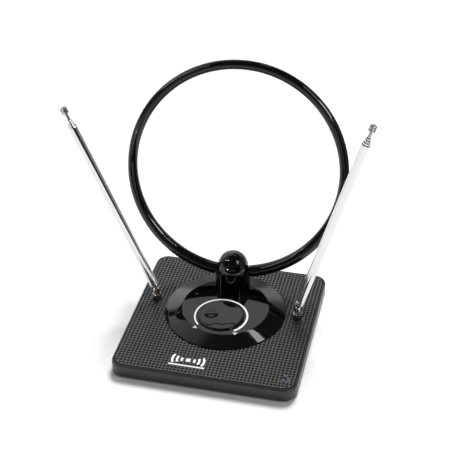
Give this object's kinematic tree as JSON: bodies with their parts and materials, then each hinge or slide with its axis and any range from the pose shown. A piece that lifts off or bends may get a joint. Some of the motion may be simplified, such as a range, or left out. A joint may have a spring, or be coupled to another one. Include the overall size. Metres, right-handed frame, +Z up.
{
  "type": "rabbit ears antenna",
  "caption": "Indoor TV antenna: square weighted base with a gain dial, tilting ring antenna on a swivelling ball head, and telescopic rods that fold and turn on knuckle joints.",
  "frame": {"origin": "centre of the flat underside of the base; the rubber feet reach 1.5 mm below it", "axes": "+Z up, -Y to the front edge with the indicator light, +X to the right seen from the front"},
  "size_m": [0.2436, 0.1749, 0.2012],
  "materials": {
    "satin_black": "satin, fine embossed grid on the top face",
    "gloss_black": "high gloss",
    "rubber": "matte",
    "chrome": "polished plating",
    "brass": "pale, lightly tarnished",
    "steel": "zinc plated",
    "circuit_green": "solder mask",
    "led_lens": "frosted translucent resin"
  },
  "bodies": {
    "base": {"top_cover": "satin_black", "bottom_cover": "satin_black", "foot_front_left": "rubber", "foot_front_right": "rubber", "foot_back_left": "rubber", "foot_back_right": "rubber", "cover_screw_front_left": "steel", "cover_screw_front_right": "steel", "cover_screw_back_left": "steel", "cover_screw_back_right": "steel", "ballast_plate": "steel", "circuit_board": "circuit_green", "shield_can": "steel", "gain_pot_body": "satin_black", "power_jack": "satin_black", "cable_gland": "rubber", "indicator_led": "led_lens", "led_holder": "satin_black", "centre_bezel": "gloss_black", "left_bushing": "gloss_black", "left_bushing_nut": "steel", "right_bushing": "gloss_black", "right_bushing_nut": "steel"},
    "gain_dial": {"gain_dial": "gloss_black", "gain_pot_shaft": "steel"},
    "loop_pillar": {"loop_pillar": "gloss_black", "pillar_clip": "steel", "tension_screw": "steel", "tension_spring": "steel", "tension_nut": "steel"},
    "loop_head": {"head_base": "gloss_black", "head_dome": "gloss_black", "head_screw_1": "steel", "head_screw_2": "steel", "loop_ring": "gloss_black", "loop_conductor": "brass"},
    "left_knuckle": {"left_knuckle_base": "brass", "left_collar": "chrome", "left_stem_washer": "steel", "left_knuckle_pin": "brass"},
    "left_rod": {"left_tongue": "brass", "left_tube_1": "chrome"},
    "left_section_2": {"left_tube_2": "chrome"},
    "left_section_3": {"left_tube_3": "chrome"},
    "left_section_4": {"left_tube_4": "chrome"},
    "left_tip": {"left_tip_section": "chrome"},
    "right_knuckle": {"right_knuckle_base": "brass", "right_collar": "chrome", "right_stem_washer": "steel", "right_knuckle_pin": "brass"},
    "right_rod": {"right_tongue": "brass", "right_tube_1": "chrome"},
    "right_section_2": {"right_tube_2": "chrome"},
    "right_section_3": {"right_tube_3": "chrome"},
    "right_section_4": {"right_tube_4": "chrome"},
    "right_tip": {"right_tip_section": "chrome"}
  },
  "joints": [
    {"name": "gain_turn", "type": "hinge", "parent": "base", "child": "gain_dial", "pos_m": [-0.0007, -0.0024, 0.0155], "axis": [0, 0, 1], "range_deg": [-140, 140]},
    {"name": "loop_swivel", "type": "hinge", "parent": "base", "child": "loop_pillar", "pos_m": [-0.0018, 0.0456, 0.0152], "axis": [0, 0, 1], "range_deg": [-23.4, 16.6]},
    {"name": "loop_tilt", "type": "hinge", "parent": "loop_pillar", "child": "loop_head", "pos_m": [-0.0018, 0.0456, 0.0269], "axis": [-0.9982, -0.0593, 0], "range_deg": [-16.5, 16.5]},
    {"name": "left_rod_turn", "type": "hinge", "parent": "base", "child": "left_knuckle", "pos_m": [-0.06, 0.0132, 0.0165], "axis": [0, 0, 1], "range_deg": [-90, 90]},
    {"name": "left_rod_fold", "type": "hinge", "parent": "left_knuckle", "child": "left_rod", "pos_m": [-0.06, 0.0132, 0.0215], "axis": [0, -1, 0], "range_deg": [-42.3, 67.7]},
    {"name": "left_slide_2", "type": "slide", "parent": "left_rod", "child": "left_section_2", "axis": [-0.3795, 0, 0.9252], "range_m": [0, 0.14]},
    {"name": "left_slide_3", "type": "slide", "parent": "left_section_2", "child": "left_section_3", "axis": [-0.3795, 0, 0.9252], "range_m": [0, 0.14]},
    {"name": "left_slide_4", "type": "slide", "parent": "left_section_3", "child": "left_section_4", "axis": [-0.3795, 0, 0.9252], "range_m": [0, 0.14]},
    {"name": "left_slide_tip", "type": "slide", "parent": "left_section_4", "child": "left_tip", "axis": [-0.3795, 0, 0.9252], "range_m": [0, 0.14]},
    {"name": "right_rod_turn", "type": "hinge", "parent": "base", "child": "right_knuckle", "pos_m": [0.06, 0.0132, 0.0165], "axis": [0, 0, -1], "range_deg": [-73.4, 106.6]},
    {"name": "right_rod_fold", "type": "hinge", "parent": "right_knuckle", "child": "right_rod", "pos_m": [0.06, 0.0132, 0.0215], "axis": [-0.2857, 0.9583, 0], "range_deg": [-37.2, 72.8]},
    {"name": "right_slide_2", "type": "slide", "parent": "right_rod", "child": "right_section_2", "axis": [0.2834, 0.0845, 0.9553], "range_m": [0, 0.14]},
    {"name": "right_slide_3", "type": "slide", "parent": "right_section_2", "child": "right_section_3", "axis": [0.2834, 0.0845, 0.9553], "range_m": [0, 0.14]},
    {"name": "right_slide_4", "type": "slide", "parent": "right_section_3", "child": "right_section_4", "axis": [0.2834, 0.0845, 0.9553], "range_m": [0, 0.14]},
    {"name": "right_slide_tip", "type": "slide", "parent": "right_section_4", "child": "right_tip", "axis": [0.2834, 0.0845, 0.9553], "range_m": [0, 0.14]}
  ],
  "couplings": [
    {"joint": "left_slide_3", "follows": "left_slide_2", "ratio": 1},
    {"joint": "left_slide_4", "follows": "left_slide_2", "ratio": 1},
    {"joint": "left_slide_tip", "follows": "left_slide_2", "ratio": 1},
    {"joint": "right_slide_3", "follows": "right_slide_2", "ratio": 1},
    {"joint": "right_slide_4", "follows": "right_slide_2", "ratio": 1},
    {"joint": "right_slide_tip", "follows": "right_slide_2", "ratio": 1}
  ]
}
